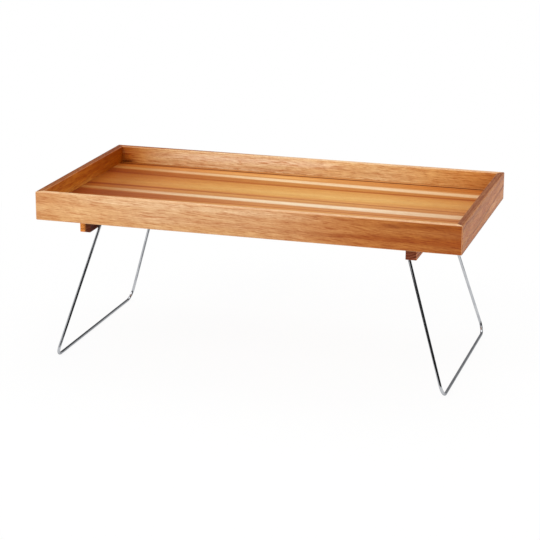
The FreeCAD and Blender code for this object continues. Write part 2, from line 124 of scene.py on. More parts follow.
grainShape = {  # x runs along the fibres, scales are in waves a metre
    "seedShift": {"X": 1.37, "Y": 0.71, "Z": 0.43},
    "driftAcross": (4.5, 16.0, 16.0), "driftThrough": (4.1, 13.0, 17.0),
    "rings": {"detail": 2.0, "roughness": 0.6, "steps": (0.32, 0.68)},
    "strands": {
        "Patches": {"scale": (9.0, 90.0, 90.0), "detail": 3.0, "roughness": 0.5, "steps": (0.36, 0.66)},
        "Streaks": {"scale": (50.0, 900.0, 900.0), "detail": 3.0, "roughness": 0.62, "steps": (0.5, 0.63)},
        "Gleam": {"scale": (-44.0, 800.0, 800.0), "detail": 3.0, "roughness": 0.62, "steps": (0.5, 0.63)},
        "Fibre": {"scale": (46.0, 1050.0, 1050.0), "detail": 3.0, "roughness": 0.65, "steps": (0.3, 0.7)},
    },
    "pores": {"scale": (120.0, 1500.0, 1500.0), "steps": (0.3, 0.12), "crowdScale": (22.0, 130.0, 130.0),
              "crowdSteps": (0.38, 0.6)},
    "ripple": {"lean": 58.0, "scale": (60.0, 310.0, 60.0), "detail": 1.0, "steps": (0.42, 0.66)},
}


def makeGrain():
    group, given, result = newGroup(
        "woodGrain",
        {"Vector": vectorKind, "Seed": floatKind, "Ring Width": floatKind, "Waviness": floatKind,
         "Pith Across": floatKind, "Pith Through": floatKind},
        {"Rings": floatKind, "Patches": floatKind, "Streaks": floatKind, "Gleam": floatKind,
         "Fibre": floatKind, "Pores": floatKind, "Ripple": floatKind})
    shift = put(group, "CombineXYZ", {axis: calc(group, "MULTIPLY", given["Seed"], amount)
                                      for axis, amount in grainShape["seedShift"].items()}).outputs[0]
    spot = calc(group, "ADD", given["Vector"], shift, kind="VectorMath")

    def waver(scale):  # a slow sideways wander of the fibres, centred on nothing
        drift = calc(group, "SUBTRACT", noise(group, stretch(group, spot, scale)), 0.5)
        return calc(group, "MULTIPLY", drift, given["Waviness"])

    parts = put(group, "SeparateXYZ", {"Vector": given["Vector"]}).outputs
    across = calc(group, "ADD", parts["Y"], waver(grainShape["driftAcross"]))
    through = calc(group, "ADD", parts["Z"], waver(grainShape["driftThrough"]))
    aside = calc(group, "SUBTRACT", across, given["Pith Across"])
    down = calc(group, "SUBTRACT", through, given["Pith Through"])
    radius = calc(group, "SQRT", calc(group, "ADD", calc(group, "MULTIPLY", aside, aside),
                                      calc(group, "MULTIPLY", down, down)))
    look = grainShape["rings"]
    rings = put(group, "TexNoise", {"W": calc(group, "DIVIDE", radius, given["Ring Width"]), "Scale": 1.0,
                                    "Detail": look["detail"], "Roughness": look["roughness"]},
                noise_dimensions="1D")
    feed(group, result["Rings"], ease(group, rings.outputs["Fac"], *look["steps"]))

    swayed = put(group, "CombineXYZ", {"X": parts["X"], "Y": across, "Z": through}).outputs[0]
    strand = calc(group, "ADD", swayed, shift, kind="VectorMath")
    for label, look in grainShape["strands"].items():
        level = noise(group, stretch(group, strand, look["scale"]), look["detail"], look["roughness"])
        feed(group, result[label], ease(group, level, *look["steps"]))
    look = grainShape["pores"]
    cell = put(group, "TexVoronoi", {"Vector": stretch(group, strand, look["scale"]), "Scale": 1.0})
    crowd = ease(group, noise(group, stretch(group, strand, look["crowdScale"])), *look["crowdSteps"])
    pores = calc(group, "MULTIPLY", ease(group, cell.outputs["Distance"], *look["steps"]), crowd)
    feed(group, result["Pores"], pores)
    look = grainShape["ripple"]
    leaning = put(group, "Mapping", {"Vector": spot, "Rotation": (0.0, 0.0, math.radians(look["lean"]))})
    ripple = noise(group, stretch(group, leaning.outputs[0], look["scale"]), look["detail"])
    feed(group, result["Ripple"], ease(group, ripple, *look["steps"]))
    return group


def makeBand():  # a stripe along the grain, its centre bending through three places
    group, given, result = newGroup(
        "grainBand",
        {"Along": floatKind, "Across": floatKind, "Left": floatKind, "Middle": floatKind,
         "Right": floatKind, "Left Width": floatKind, "Right Width": floatKind, "Softness": floatKind},
        {"Mask": floatKind})
    along = given["Along"]  # from -1 at the left end to 1 at the right
    slope = calc(group, "MULTIPLY", calc(group, "SUBTRACT", given["Right"], given["Left"]), 0.5)
    ends = calc(group, "MULTIPLY", calc(group, "ADD", given["Right"], given["Left"]), 0.5)
    bow = calc(group, "SUBTRACT", ends, given["Middle"])
    centre = calc(group, "MULTIPLY_ADD", calc(group, "MULTIPLY", along, along), bow,
                  calc(group, "MULTIPLY_ADD", along, slope, given["Middle"]))
    share = calc(group, "MULTIPLY_ADD", along, 0.5, 0.5, use_clamp=True)
    growth = calc(group, "SUBTRACT", given["Right Width"], given["Left Width"])
    width = calc(group, "MULTIPLY_ADD", growth, share, given["Left Width"])
    half = calc(group, "MULTIPLY", width, 0.5)
    away = calc(group, "ABSOLUTE", calc(group, "SUBTRACT", given["Across"], centre))
    outer = calc(group, "ADD", half, given["Softness"])
    inner = calc(group, "SUBTRACT", half, given["Softness"])
    feed(group, result["Mask"], ease(group, away, outer, inner))
    return group


markShape = {"scale": (60.0, 260.0, 260.0), "detail": 3.0, "raggedness": 0.9, "edge": (1.0, 0.15)}


def makeMark():  # one long soft spot in the grain
    group, given, result = newGroup(
        "grainMark",
        {"Vector": vectorKind, "Along": floatKind, "Across": floatKind, "Length": floatKind,
         "Width": floatKind},
        {"Mask": floatKind})
    parts = put(group, "SeparateXYZ", {"Vector": given["Vector"]}).outputs
    far = calc(group, "DIVIDE", calc(group, "SUBTRACT", parts["X"], given["Along"]), given["Length"])
    off = calc(group, "DIVIDE", calc(group, "SUBTRACT", parts["Y"], given["Across"]), given["Width"])
    rough = noise(group, stretch(group, given["Vector"], markShape["scale"]), markShape["detail"])
    reach = calc(group, "SQRT", calc(group, "ADD", calc(group, "MULTIPLY", far, far),
                                     calc(group, "MULTIPLY", off, off)))
    ragged = markShape["raggedness"]
    reach = calc(group, "MULTIPLY_ADD", rough, ragged, calc(group, "SUBTRACT", reach, ragged / 2))
    feed(group, result["Mask"], ease(group, reach, *markShape["edge"]))
    return group


arrisSteps = (0.995, 0.8)  # the normal's largest part on a flat face, and well round an edge


def makeArris():  # where the surface turns from one flat face to the next
    group, given, result = newGroup("arrisMask", {"Normal": vectorKind}, {"Mask": floatKind})
    sized = calc(group, "ABSOLUTE", given["Normal"], kind="VectorMath")
    parts = put(group, "SeparateXYZ", {"Vector": sized}).outputs
    most = calc(group, "MAXIMUM", parts["X"], calc(group, "MAXIMUM", parts["Y"], parts["Z"]))
    feed(group, result["Mask"], ease(group, most, *arrisSteps))
    return group


grainGroup = makeGrain()
bandGroup = makeBand()
markGroup = makeMark()
arrisGroup = makeArris()


# Wood

tints = (  # masks of the grain, with the names that their strength and their shade have in a look
    ("Patches", "patch", "patch"), ("Rings", "ring", "ring"), ("Gleam", "gleam", "gleam"),
    ("Streaks", "streak", "streak"), ("Ripple", "ripple", "streak"), ("Fibre", "fibre", "fibre"),
    ("Pores", "pore", "pore"),
)


def bandMask(tree, band, share, spot, swayed):
    axis = band.get("axis", "Y")
    left, middle, right = band["places"]
    leftWidth, rightWidth = band["widths"]
    strength = useGroup(tree, bandGroup, {
        "Along": share, "Across": spot[axis] if band.get("straight") else swayed[axis],
        "Left": left, "Middle": middle, "Right": right, "Left Width": leftWidth,
        "Right Width": rightWidth, "Softness": band["soft"]})["Mask"]
    strength = calc(tree, "MULTIPLY", strength, band["strength"])
    if "from" in band:
        strength = calc(tree, "MULTIPLY", strength, ease(tree, share, *band["from"]))
    if "until" in band:
        strength = calc(tree, "MULTIPLY", strength, ease(tree, share, *band["until"], 1.0, 0.0))
    if "side" in band:  # on one face of the piece only
        strength = calc(tree, "MULTIPLY", strength, ease(tree, spot["Z"], *band["side"]))
    return strength


def makeWood(name, look):
    material, tree, shader = newMaterial(name)
    places = put(tree, "TexCoord").outputs
    given = put(tree, "SeparateXYZ", {"Vector": places["Object"]}).outputs
    along, across, through = look["axes"]
    turned = put(tree, "CombineXYZ", {"X": given[along], "Y": given[across], "Z": given[through]})
    level = put(tree, "Mapping", {"Vector": turned.outputs[0],
                                  "Location": (0.0, -look["middle"], 0.0)}).outputs[0]
    tilt = put(tree, "Mapping", {"Vector": level, "Rotation": (0.0, 0.0, math.radians(-look["tilt"]))})
    grain = useGroup(tree, grainGroup, {
        "Vector": tilt.outputs[0], "Seed": look["seed"], "Ring Width": look["ringWidth"],
        "Waviness": look["waviness"], "Pith Across": look["pith"][0], "Pith Through": look["pith"][1]})
    spot = put(tree, "SeparateXYZ", {"Vector": level}).outputs
    share = calc(tree, "DIVIDE", spot["X"], look["halfLength"])
    wander = calc(tree, "SUBTRACT", noise(tree, stretch(tree, level, look["wanderScale"])), 0.5)
    sway = calc(tree, "MULTIPLY", wander, look["bandWander"])
    swayed = {axis: calc(tree, "ADD", spot[axis], sway) for axis in ("Y", "Z")}

    lengthwise = calc(tree, "MULTIPLY_ADD", share, 0.5, 0.5)
    if "crossTones" in look:
        crosswise = calc(tree, "DIVIDE", swayed["Y"], 2 * look["halfWidth"])
        colour = ramp(tree, calc(tree, "ADD", crosswise, 0.5), look["crossTones"])
    else:
        colour = ramp(tree, lengthwise, look["tones"])
    for band in look["bands"]:
        colour = blend(tree, bandMask(tree, band, share, spot, swayed), colour, band["colour"])
    for mark in look["marks"]:
        mask = useGroup(tree, markGroup, {
            "Vector": level, "Along": mark["place"][0], "Across": mark["place"][1],
            "Length": mark["size"][0], "Width": mark["size"][1]})["Mask"]
        colour = blend(tree, calc(tree, "MULTIPLY", mask, mark["strength"]), colour, mark["colour"])
    # painted shade: a ramp along the piece multiplies the colour darker
    if "shading" in look:
        colour = blend(tree, 1.0, colour, ramp(tree, lengthwise, look["shading"]), "MULTIPLY")
    for mask, strength, shade in tints:
        amount = calc(tree, "MULTIPLY", grain[mask], look[strength + "Strength"])
        colour = blend(tree, amount, colour, look[shade + "Shade"], "MULTIPLY")
    # painted light: the end faces are multiplied lighter than the sides
    if "paintedEndLight" in look:
        turn = calc(tree, "ABSOLUTE", places["Normal"], kind="VectorMath")
        facing = put(tree, "SeparateXYZ", {"Vector": turn}).outputs[along]
        colour = blend(tree, ease(tree, facing, *look["endFacing"]), colour, look["paintedEndLight"], "MULTIPLY")
    # painted highlight: the rounded edges are blended towards a lighter colour
    rim = useGroup(tree, arrisGroup, {"Normal": places["Normal"]})["Mask"]
    colour = blend(tree, calc(tree, "MULTIPLY", rim, look["arrisHighlightStrength"]), colour, look["arrisHighlight"])
    feed(tree, shader.inputs["Base Color"], colour)

    dull = calc(tree, "MULTIPLY_ADD", grain["Fibre"], look["fibreDullness"], look["roughness"])
    dull = calc(tree, "MULTIPLY_ADD", grain["Pores"], look["poreDullness"], dull)
    feed(tree, shader.inputs["Roughness"], dull)
    height = calc(tree, "MULTIPLY_ADD", grain["Pores"], -1.0,
                  calc(tree, "MULTIPLY", grain["Fibre"], -look["fibreShare"]))
    relief = put(tree, "Bump", {"Strength": look["relief"], "Distance": look["poreDepth"],
                                "Height": height})
    feed(tree, shader.inputs["Normal"], relief.outputs["Normal"])
    shader.inputs["Specular IOR Level"].default_value = look["gloss"]
    return material


def dress(material, *names):
    for name in names:
        nodes[name].material_slots[0].material = material


# Places and widths are in metres, across the grain. "from" and "until" run from -1 to 1 along the piece,
# "side" is in metres through it: from where the band starts to show to where it is full.
# "fibreShare" is how deep a fibre's groove is beside a pore's.
sharedWood = {
    "tilt": 0.0, "ringWidth": 0.004, "waviness": 0.012, "pith": (-0.06, 0.03), "bandWander": 0.003,
    "wanderScale": (5.0, 30.0, 30.0), "patchStrength": 0.6, "patchShade": (1.1, 1.18, 1.24, 1.0),
    "ringStrength": 0.2, "ringShade": tone(225, 190, 165), "gleamStrength": 0.85,
    "gleamShade": (1.18, 1.34, 1.5, 1.0), "streakStrength": 0.75, "streakShade": tone(216, 172, 140),
    "rippleStrength": 0.1, "fibreStrength": 0.25, "fibreShade": tone(220, 196, 176), "poreStrength": 0.5,
    "poreShade": tone(186, 140, 108), "endFacing": (0.6, 0.95), "arrisHighlightStrength": 0.5,
    "arrisHighlight": tone(232, 186, 142), "roughness": 0.36, "fibreDullness": 0.1, "poreDullness": 0.2,
    "relief": 0.25, "poreDepth": 0.0002, "fibreShare": 0.3, "gloss": 0.18, "bands": [], "marks": [],
}
railMiddle = (trayLow.z + trayHigh.z) / 2
railAxes = ("X", "Z", "Y")
endAxes = ("Y", "Z", "X")

frontRail = {
    **sharedWood, "axes": railAxes, "middle": railMiddle, "halfLength": trayHigh.x, "seed": 3.0,
    "tilt": -3.0, "patchStrength": 0.45,
    "tones": ((0.0, tone(207, 148, 95)), (0.03, tone(211, 153, 98)), (0.12, tone(222, 172, 119)),
              (0.2, tone(219, 169, 118)), (0.3, tone(220, 174, 127)), (0.4, tone(215, 164, 114)),
              (0.5, tone(209, 156, 107)), (0.6, tone(206, 149, 97)), (0.7, tone(197, 133, 77)),
              (0.78, tone(187, 118, 58)), (0.88, tone(177, 105, 43)), (1.0, tone(158, 79, 20))),
    "bands": [
        {"places": (-0.015, -0.015, -0.015), "widths": (0.008, 0.008), "soft": 0.005, "strength": 0.6,
         "colour": tone(210, 156, 98), "until": (0.0, 0.3)},
        {"places": (-0.002, -0.003, -0.003), "widths": (0.008, 0.008), "soft": 0.005, "strength": 0.6,
         "colour": tone(228, 182, 126), "until": (-0.8, -0.5)},
        {"places": (0.0145, 0.014, 0.014), "widths": (0.008, 0.008), "soft": 0.005, "strength": 0.6,
         "colour": tone(236, 198, 154), "from": (-0.9, -0.6), "until": (0.0, 0.45)},
        {"places": (-0.016, -0.014, -0.013), "widths": (0.004, 0.006), "soft": 0.003, "strength": 0.5,
         "colour": tone(186, 116, 54), "from": (0.2, 0.45)},
        {"places": (-0.006, -0.006, -0.006), "widths": (0.002, 0.008), "soft": 0.003, "strength": 0.75,
         "colour": tone(158, 76, 20), "from": (0.05, 0.6)},
        {"places": (0.007, 0.007, 0.006), "widths": (0.005, 0.008), "soft": 0.004, "strength": 0.5,
         "colour": tone(188, 122, 62), "from": (0.4, 0.65)},
        {"places": (-0.015, 0.001, 0.017), "widths": (0.002, 0.005), "soft": 0.002, "strength": 0.6,
         "colour": tone(150, 74, 14), "from": (0.55, 0.85)},
        # a pale line along the top edge: painted highlight on the arris
        {"places": (0.0203, 0.0203, 0.0203), "widths": (0.001, 0.001), "soft": 0.0003, "strength": 0.9,
         "colour": tone(242, 200, 150), "straight": True},
    ],
    "marks": [
        {"place": (0.206, 0.012), "size": (0.015, 0.0035), "colour": tone(142, 72, 26), "strength": 0.6},
        {"place": (0.102, 0.0165), "size": (0.006, 0.002), "colour": tone(160, 92, 46), "strength": 0.5},
    ],
}
backRail = {
    **sharedWood, "axes": railAxes, "middle": railMiddle, "halfLength": trayHigh.x, "seed": 11.0,
    "tilt": -1.5, "patchStrength": 0.5, "gleamStrength": 0.92, "streakStrength": 0.86,
    # the tones darken sharply at the left end: painted shade in the back-left corner
    "tones": ((0.0, tone(152, 68, 10)), (0.035, tone(186, 104, 32)), (0.07, tone(220, 156, 84)),
              (0.13, tone(235, 193, 136)), (0.3, tone(240, 206, 158)), (0.43, tone(238, 204, 154)),
              (0.57, tone(236, 192, 133)), (0.7, tone(240, 202, 145)), (0.83, tone(231, 177, 108)),
              (0.92, tone(221, 155, 82)), (1.0, tone(210, 139, 66))),
    "bands": [
        {"places": (0.001, 0.0, -0.002), "widths": (0.004, 0.004), "soft": 0.003, "strength": 0.55,
         "colour": tone(204, 138, 84), "from": (-0.9, -0.75), "until": (-0.1, 0.25)},
        {"places": (0.012, 0.012, 0.012), "widths": (0.003, 0.003), "soft": 0.0025, "strength": 0.5,
         "colour": tone(206, 134, 72), "until": (-0.75, -0.5)},
        {"places": (0.010, 0.0125, 0.014), "widths": (0.009, 0.009), "soft": 0.004, "strength": 0.85,
         "colour": tone(254, 229, 194), "from": (-0.9, -0.45), "until": (0.0, 0.3)},
        # a pale line along the top edge: painted highlight on the arris
        {"places": (0.0203, 0.0203, 0.0203), "widths": (0.0012, 0.0012), "soft": 0.0004, "strength": 0.8,
         "colour": tone(236, 196, 152), "from": (-0.95, -0.1), "straight": True},
        {"places": (0.0202, 0.0202, 0.0202), "widths": (0.0018, 0.0018), "soft": 0.0005, "strength": 1.0,
         "colour": tone(182, 110, 48), "until": (-0.95, -0.4), "straight": True},
        {"places": (0.0202, 0.0202, 0.0202), "widths": (0.0018, 0.0018), "soft": 0.0005, "strength": 1.0,
         "colour": tone(160, 84, 24), "until": (-0.7, 0.15), "straight": True,
         "side": (0.151, 0.155)},  # towards its back edge
    ],
    "marks": [
        # a dark soft spot at the foot of the left end: painted shade in the back-left corner
        {"place": (-0.281, -0.0038), "size": (0.018, 0.0052), "colour": tone(104, 40, 8), "strength": 0.8},
    ],
}
endRail = {
    **sharedWood, "axes": endAxes, "middle": railMiddle, "halfLength": -trayLow.y, "seed": 23.0,
    "tilt": 4.0, "gleamStrength": 1.0, "streakStrength": 0.92, "ringStrength": 0.6,
    "ringShade": tone(205, 165, 140), "arrisHighlightStrength": 0.3, "arrisHighlight": tone(206, 150, 112),
    "gloss": 0.07,
    "tones": ((0.0, tone(190, 126, 68)), (0.4, tone(192, 127, 70)), (0.75, tone(198, 131, 74)),
              (1.0, tone(196, 129, 72))),
    "bands": [
        {"places": (0.0145, 0.013, 0.012), "widths": (0.006, 0.004), "soft": 0.004, "strength": 0.6,
         "colour": tone(148, 80, 48), "until": (-0.3, 0.3)},
        {"places": (0.002, 0.004, 0.008), "widths": (0.007, 0.005), "soft": 0.004, "strength": 0.65,
         "colour": tone(212, 144, 88)},
        {"places": (-0.0112, -0.0065, 0.0022), "widths": (0.002, 0.002), "soft": 0.0014, "strength": 0.7,
         "colour": tone(142, 72, 42)},
        {"places": (-0.0155, -0.0155, -0.0155), "widths": (0.006, 0.004), "soft": 0.003, "strength": 0.65,
         "colour": tone(200, 126, 66), "until": (-0.3, 0.2)},
        {"places": (-0.013, -0.012, -0.009), "widths": (0.006, 0.014), "soft": 0.004, "strength": 0.8,
         "colour": tone(226, 168, 112), "from": (0.1, 0.6)},
        # a dark line along the lower edge of the outer face: painted shade under the arris
        {"places": (-0.0189, -0.0189, -0.0189), "widths": (0.0014, 0.0014), "soft": 0.0005, "strength": 0.7,
         "colour": tone(112, 66, 36), "straight": True},
        {"places": (0.0203, 0.0203, 0.0203), "widths": (0.001, 0.001), "soft": 0.0004, "strength": 0.85,
         "colour": tone(138, 86, 58), "straight": True},
    ],
}
leftRail = {
    **endRail, "seed": 31.0, "tilt": 2.0,
    # darker, oranger tones than the right rail's on the same wood: painted shade with painted orange bounce
    # light off the tray
    "tones": ((0.0, tone(206, 132, 52)), (0.4, tone(200, 118, 34)), (0.65, tone(176, 92, 18)),
              (1.0, tone(158, 74, 6))),
    "patchStrength": 0.9,
    "bands": endRail["bands"][-1:] + [  # only the line along the top edge is shared
        {"places": (-0.002, -0.002, -0.002), "widths": (0.006, 0.006), "soft": 0.005, "strength": 0.6,
         "colour": tone(206, 138, 62), "until": (0.0, 0.5)},
    ],
}

dress(makeWood("frontRailWood", frontRail), "front_rail")
dress(makeWood("backRailWood", backRail), "back_rail")
dress(makeWood("rightRailWood", endRail), "right_rail")
dress(makeWood("leftRailWood", leftRail), "left_rail")

boards = {
    **sharedWood, "axes": ("X", "Y", "Z"), "middle": 0.0, "halfLength": floorHigh.x, "halfWidth": 0.15,
    "seed": 41.0, "waviness": 0.006, "bandWander": 0.002,
    "crossTones": ((0.0, tone(206, 140, 76)), (0.117, tone(214, 152, 86)), (0.167, tone(202, 132, 68)),
                   (0.25, tone(218, 162, 94)), (0.317, tone(206, 142, 80)), (0.357, tone(206, 142, 82)),
                   (0.4, tone(204, 140, 82)), (0.49, tone(212, 154, 90)), (0.527, tone(215, 154, 86)),
                   (0.553, tone(219, 164, 90)), (0.603, tone(226, 179, 107)), (0.653, tone(222, 168, 94)),
                   (0.72, tone(212, 150, 77)), (0.767, tone(200, 134, 64)), (0.803, tone(201, 135, 68)),
                   (0.833, tone(206, 140, 72)), (0.92, tone(212, 150, 85)), (0.953, tone(210, 141, 72)),
                   (1.0, tone(203, 132, 66))),
    "bands": [
        {"places": (0.1450, 0.1445, 0.1440), "widths": (0.007, 0.007), "soft": 0.002, "strength": 0.6,
         "colour": tone(226, 176, 116)},
        {"places": (0.1395, 0.1385, 0.1380), "widths": (0.003, 0.0055), "soft": 0.0014, "strength": 1.0,
         "colour": tone(106, 42, 4)},
        {"places": (0.125, 0.125, 0.124), "widths": (0.010, 0.016), "soft": 0.004, "strength": 0.6,
         "colour": tone(204, 124, 46), "from": (0.2, 0.7)},
        {"places": (0.1300, 0.1300, 0.1290), "widths": (0.001, 0.0025), "soft": 0.001, "strength": 0.6,
         "colour": tone(158, 78, 18), "from": (0.3, 0.75)},
        {"places": (0.1200, 0.1180, 0.1165), "widths": (0.001, 0.0025), "soft": 0.001, "strength": 0.6,
         "colour": tone(166, 86, 22), "from": (0.2, 0.7)},
        {"places": (0.1270, 0.1250, 0.1250), "widths": (0.013, 0.010), "soft": 0.004, "strength": 0.75,
         "colour": tone(238, 186, 118), "until": (-0.1, 0.3)},
        {"places": (0.1140, 0.1037, 0.0950), "widths": (0.013, 0.018), "soft": 0.0034, "strength": 0.98,
         "colour": tone(241, 215, 178)},
        {"places": (0.094, 0.090, 0.086), "widths": (0.018, 0.004), "soft": 0.004, "strength": 0.6,
         "colour": tone(182, 108, 44), "until": (-0.6, 0.1)},
        {"places": (0.0845, 0.0735, 0.0725), "widths": (0.006, 0.008), "soft": 0.004, "strength": 0.95,
         "colour": tone(172, 88, 12)},
        {"places": (0.0075, 0.0035, -0.003), "widths": (0.008, 0.003), "soft": 0.003, "strength": 0.9,
         "colour": tone(176, 100, 40)},
        {"places": (-0.0165, -0.0243, -0.0288), "widths": (0.0118, 0.0205), "soft": 0.003, "strength": 0.98,
         "colour": tone(241, 221, 192)},
        {"places": (-0.044, -0.046, -0.050), "widths": (0.028, 0.003), "soft": 0.004, "strength": 0.8,
         "colour": tone(180, 108, 50), "until": (-0.7, 0.3)},
        {"places": (-0.0505, -0.0500, -0.0505), "widths": (0.003, 0.003), "soft": 0.0015, "strength": 0.85,
         "colour": tone(172, 90, 34)},
        {"places": (-0.078, -0.074, -0.079), "widths": (0.012, 0.008), "soft": 0.003, "strength": 0.9,
         "colour": tone(230, 200, 156)},
        {"places": (-0.099, -0.101, -0.096), "widths": (0.006, 0.012), "soft": 0.004, "strength": 0.8,
         "colour": tone(188, 112, 50)},
        {"places": (-0.134, -0.130, -0.136), "widths": (0.010, 0.006), "soft": 0.003, "strength": 0.6,
         "colour": tone(196, 122, 58)},
    ],
    # darkens the boards towards both ends; at the left end it is painted shade with orange bounce light off
    # the left rail
    "shading": ((0.0, tone(188, 134, 74)), (0.035, tone(194, 146, 90)), (0.09, tone(202, 162, 114)),
                (0.19, tone(233, 208, 186)), (0.3, tone(242, 228, 208)), (0.48, tone(255, 253, 244)),
                (0.72, tone(255, 253, 248)), (0.88, tone(243, 230, 213)), (1.0, tone(237, 216, 192))),
    "patchStrength": 0.3, "gleamStrength": 0.4, "streakStrength": 0.32, "rippleStrength": 0.06,
    "fibreStrength": 0.15, "poreStrength": 0.3, "arrisHighlightStrength": 0.0, "ringStrength": 0.3,
    "ringWidth": 0.0028, "gloss": 0.1,
}
dress(makeWood("floorWood", boards), *(name for name in nodes if name.startswith("floor_board_")))

battenLow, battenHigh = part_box("right_batten")
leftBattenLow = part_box("left_batten")[0]
# painted shadow: a dark band high on each batten, just below the rail's edge
battenTopShadow = {
    "places": (0.0075, 0.0075, 0.0075), "widths": (0.004, 0.004), "soft": 0.0015, "strength": 0.7,
    "colour": tone(64, 26, 14), "straight": True,
}
battenFoot = {
    "places": (-0.0075, -0.0075, -0.0075), "widths": (0.001, 0.001), "soft": 0.0008, "strength": 0.6,
    "colour": tone(80, 36, 22), "straight": True,
}
outerFace = (battenHigh.x - 0.001, battenHigh.x - 0.0002)  # the right batten's outermost millimetre
batten = {
    **sharedWood, "axes": endAxes, "middle": (battenLow.z + battenHigh.z) / 2, "halfLength": battenHigh.y,
    "seed": 53.0, "tones": ((0.0, tone(132, 70, 44)), (1.0, tone(140, 78, 50))), "pith": (0.02, 0.22),
    "ringWidth": 0.002, "ringStrength": 0.8, "ringShade": tone(170, 120, 95),
    "paintedEndLight": (1.2, 1.45, 1.8, 1.0), "arrisHighlightStrength": 0.15, "arrisHighlight": tone(176, 116, 84),
    "gloss": 0.02,
    "bands": [
        {"places": (0.0, 0.0, 0.0), "widths": (0.04, 0.04), "soft": 0.002, "strength": 0.9,
         "colour": tone(204, 128, 78), "side": outerFace, "straight": True},
        battenTopShadow, battenFoot,
    ],
}
paleEdge = leftBattenLow.x + 0.001
leftBatten = {
    # darker tones than the right batten's: painted shade under the tray
    **batten, "seed": 61.0, "tones": ((0.0, tone(96, 46, 26)), (1.0, tone(110, 58, 34))),
    "pith": (-0.02, -0.22), "paintedEndLight": (1.25, 1.6, 1.8, 1.0),
    "bands": [  # a pale band along its outer face, where the end is lit; the darker rest is painted shade
        {"axis": "Z", "places": (paleEdge, paleEdge, paleEdge), "widths": (0.012, 0.012), "soft": 0.0025,
         "strength": 0.92, "colour": tone(238, 144, 66), "straight": True},
        battenTopShadow, battenFoot,
    ],
}
dress(makeWood("rightBattenWood", batten), "right_batten")
dress(makeWood("leftBattenWood", leftBatten), "left_batten")
splines = {
    **sharedWood, "axes": endAxes, "middle": railMiddle, "halfLength": -trayLow.y, "seed": 71.0,
    "tones": ((0.0, tone(206, 160, 110)), (1.0, tone(206, 160, 110))),
}
dress(makeWood("splineWood", splines), "corner_splines")
print("wood done")


# Metal

def makeMetal(name, look):
    material, tree, shader = newMaterial(name)
    places = put(tree, "TexCoord").outputs
    clouds = noise(tree, stretch(tree, places["Object"], look["cloudScale"]), look["cloudDetail"])
    lines = noise(tree, stretch(tree, places["Object"], look["lineScale"]), look["lineDetail"])
    colour = blend(tree, ease(tree, clouds, *look["colourSteps"]), look["dark"], look["light"])
    feed(tree, shader.inputs["Base Color"], colour)
    feed(tree, shader.inputs["Roughness"], ease(tree, clouds, *look["dullSteps"], *look["roughness"]))
    relief = put(tree, "Bump", {"Strength": look["relief"], "Distance": look["depth"], "Height": lines})
    feed(tree, shader.inputs["Normal"], relief.outputs["Normal"])
    shader.inputs["Metallic"].default_value = 1.0
    shader.inputs["Specular Tint"].default_value = look["rim"]
    return material


sharedMetal = {
    "cloudDetail": 3.0, "lineDetail": 2.0, "colourSteps": (0.35, 0.65), "dullSteps": (0.3, 0.7),
    "relief": 0.2, "depth": 0.0001, "rim": (0.8, 0.8, 0.8, 1.0),
}
brightWire = {
    **sharedMetal, "cloudScale": (60.0, 60.0, 60.0), "lineScale": (900.0, 900.0, 30.0),
    "dark": tone(180, 182, 186), "light": tone(194, 196, 199), "roughness": (0.03, 0.07), "relief": 0.02,
    "rim": (0.45, 0.45, 0.46, 1.0),
}
platedSteel = {
    **sharedMetal, "cloudScale": (220.0, 220.0, 220.0), "lineScale": (300.0, 2500.0, 300.0),
    "dark": tone(168, 172, 178), "light": tone(204, 206, 208), "roughness": (0.24, 0.42),
}
screwSteel = {
    **sharedMetal, "cloudScale": (500.0, 500.0, 500.0), "lineScale": (2500.0, 2500.0, 2500.0),
    "dark": tone(160, 164, 170), "light": tone(206, 208, 212), "roughness": (0.2, 0.4),
}
dress(makeMetal("wireChrome", brightWire), "left_leg", "right_leg")
dress(makeMetal("bracketZinc", platedSteel), "left_front_bracket", "left_back_bracket",
      "right_front_bracket", "right_back_bracket")
dress(makeMetal("screwZinc", screwSteel), "bracket_screws", "batten_screws")
print("metal done")


# Floor, light and camera

